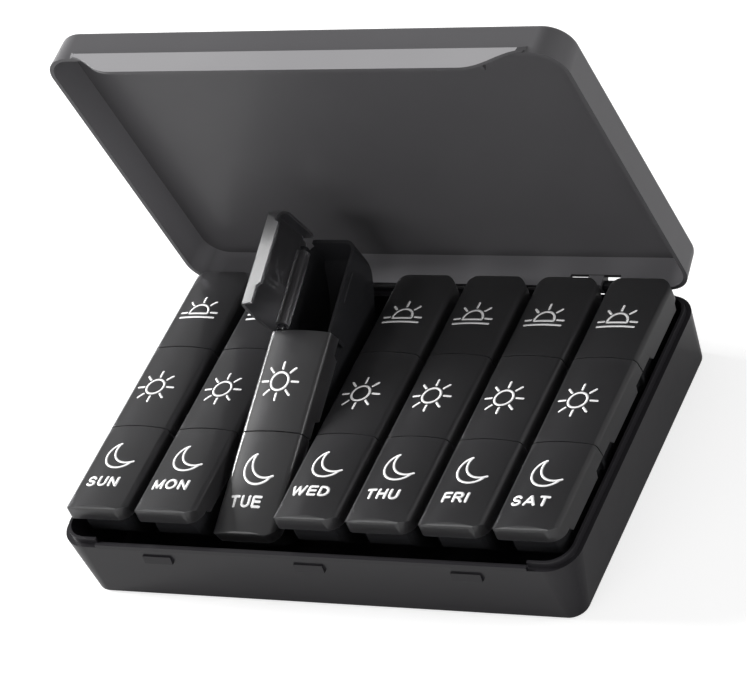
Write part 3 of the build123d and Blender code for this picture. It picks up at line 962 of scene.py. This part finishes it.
@dataclass
class PrintedMarks:
    """White pictograms on every lid and day names on the night lids."""

    shop: Workshop
    sizes: LidSizes = field(default_factory=LidSizes)
    signs: dict[Slot, Pictogram] = field(
        default_factory=lambda: {
            Slot.NIGHT: Pictogram(
                "moon",
                (-0.1, 5.4),
                (
                    Arc((0.0, 0.0), (5.95, 5.95), 114.0, 218.0),
                    Arc((2.8, 2.6), (6.0, 6.0), 152.0, 150.0),
                ),
            ),
            Slot.NOON: Pictogram(
                "sun",
                (-2.2, -0.5),
                (Arc((0.0, 0.0), (3.5, 3.5), 0.0, 360.0),),
                ray_count=8,
                ray_start=4.9,
                ray_length=2.45,
            ),
            Slot.MORNING: Pictogram(
                "sunrise",
                (-1.55, -2.45),
                (Arc((0.0, 0.0), (3.85, 3.85), -8.0, 196.0),),
                lines=(((-3.81, -0.54), (3.81, -0.54)), ((-7.1, -2.4), (7.1, -2.4))),
                ray_count=5,
                ray_start=5.15,
                ray_length=2.3,
            ),
        }
    )

    def build(self) -> None:
        """Print every lid."""
        printing = Printing()
        ink = self.shop.finish(Finish.INK)
        for slot, sign in self.signs.items():
            flat = printing.mesh(sign, ink)
            for day, name in enumerate(DAYS):
                self._print(flat.copy(), day, slot, f"{name}_{sign.name}_print")
        for day, name in enumerate(DAYS):
            word = printing.mesh(DayName(name[:3].upper()), ink)
            self._print(word, day, Slot.NIGHT, f"{name}_name_print")
        LOG.info("printed %d lids", len(DAYS) * len(Slot))

    def _print(self, mesh: bpy.types.Mesh, day: int, slot: Slot, name: str) -> None:
        """Lay a flat mark on a lid's crown and let it ride on the lid.

        Args:
            mesh: Flat mark in the lid's own millimetres.
            day: Column of the lid, 0 for Sunday.
            slot: Slot that the lid closes.
            name: Name of the printed piece.
        """
        for vert in mesh.vertices:
            vert.co.z += self.sizes.crown_height(vert.co.x)
        mesh.transform(self.sizes.place(day, slot))
        mark = bpy.data.objects.new(name, mesh)
        bpy.context.scene.collection.objects.link(mark)
        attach(mark, self.shop.frame["nodes"][f"{DAYS[day]}_{slot.word}_lid"]["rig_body"])


@dataclass(frozen=True)
class Lamp:
    """A flat soft lamp, in metres and watts."""

    name: str
    place: tuple[float, float, float]
    size: tuple[float, float]
    power: float
    aim: tuple[float, float, float] = (0.0, 0.0, 0.03)

    def add(self) -> None:
        """Add the lamp to the scene, turned to the object."""
        data = bpy.data.lights.new(self.name, "AREA")
        data.shape = "RECTANGLE"
        data.size, data.size_y = self.size
        data.energy = self.power
        lamp = bpy.data.objects.new(self.name, data)
        bpy.context.scene.collection.objects.link(lamp)
        lamp.location = Vector(self.place)
        lamp.rotation_mode = "QUATERNION"
        way = Vector(self.aim) - Vector(self.place)
        lamp.rotation_quaternion = way.to_track_quat("-Z", "Y")


LAMPS = (
    Lamp("left_lamp", (-2.2, 0.15, 0.85), (0.9, 0.7), 120.0),
    Lamp("front_lamp", (-0.3, -1.7, 0.4), (1.8, 0.8), 9.0),
    Lamp("right_lamp", (1.9, 0.1, 0.7), (0.8, 0.6), 14.0),
)


@dataclass
class Studio:
    """Plain backdrop, soft lamps and the camera."""

    lens: float = 206.562
    sensor_width: float = 36.0
    sight: float = 50.0
    camera_place: tuple[float, float, float] = (0.745249, -0.885141, 0.963108)
    camera_turn: tuple[float, float, float, float] = (0.8924232, 0.3689292, 0.2355014, 0.1095956)
    world_light: float = 0.36
    world_white: float = 1.0
    floor_reach: float = 6.0
    floor_height: float = -0.0002
    floor_grey: float = 0.5
    floor_roughness: float = 0.9
    floor_lift: float = 0.68

    def build(self) -> None:
        """Build the floor, the world, the lamps and the camera."""
        scene = bpy.context.scene
        scene.view_settings.view_transform = "Standard"
        self._world(scene)
        self._floor()
        for lamp in LAMPS:
            lamp.add()
        camera = bpy.data.objects.new("camera", bpy.data.cameras.new("camera"))
        scene.collection.objects.link(camera)
        camera.data.lens = self.lens
        camera.data.sensor_width = self.sensor_width
        camera.location = Vector(self.camera_place)
        camera.rotation_mode = "QUATERNION"
        camera.rotation_quaternion = Quaternion(self.camera_turn)
        camera.data.clip_end = self.sight
        scene.camera = camera

    def _world(self, scene: bpy.types.Scene) -> None:
        """White surroundings that light the object at a plain level.

        Args:
            scene: Scene that gets the world.
        """
        world = bpy.data.worlds.new("studio_white")
        scene.world = world
        world.use_nodes = True
        nodes, links = world.node_tree.nodes, world.node_tree.links
        background = nodes["Background"]
        background.inputs["Color"].default_value = (1.0, 1.0, 1.0, 1.0)
        path = nodes.new("ShaderNodeLightPath")
        level = nodes.new("ShaderNodeMix")
        level.inputs["A"].default_value = self.world_light
        level.inputs["B"].default_value = self.world_white
        links.new(path.outputs["Is Camera Ray"], level.inputs["Factor"])
        links.new(level.outputs["Result"], background.inputs["Strength"])

    def _floor(self) -> None:
        """White floor that keeps the object's shadow."""
        mesh = bpy.data.meshes.new("floor")
        reach = self.floor_reach
        sides = ((-reach, -reach), (reach, -reach), (reach, reach), (-reach, reach))
        mesh.from_pydata([(x, y, self.floor_height) for x, y in sides], [], [(0, 1, 2, 3)])
        floor = bpy.data.objects.new("floor", mesh)
        bpy.context.scene.collection.objects.link(floor)
        made = bpy.data.materials.new("white_floor")
        made.use_nodes = True
        shader = made.node_tree.nodes["Principled BSDF"]
        grey = self.floor_grey
        shader.inputs["Base Color"].default_value = (grey, grey, grey, 1.0)
        shader.inputs["Roughness"].default_value = self.floor_roughness
        shader.inputs["Emission Color"].default_value = (1.0, 1.0, 1.0, 1.0)
        nodes, links = made.node_tree.nodes, made.node_tree.links
        path = nodes.new("ShaderNodeLightPath")
        lift = nodes.new("ShaderNodeMath")
        lift.operation = "MULTIPLY"
        lift.inputs[1].default_value = self.floor_lift
        links.new(path.outputs["Is Camera Ray"], lift.inputs[0])
        links.new(lift.outputs["Value"], shader.inputs["Emission Strength"])
        mesh.materials.append(made)


def main() -> None:
    """Build the organizer and its studio in order."""
    logging.basicConfig(level=logging.INFO)
    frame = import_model()
    shop = Workshop(frame)
    CaseShell(shop).build()
    DailyBoxes(shop).build()
    PrintedMarks(shop).build()
    Studio().build()


if __name__ == "__main__":
    main()
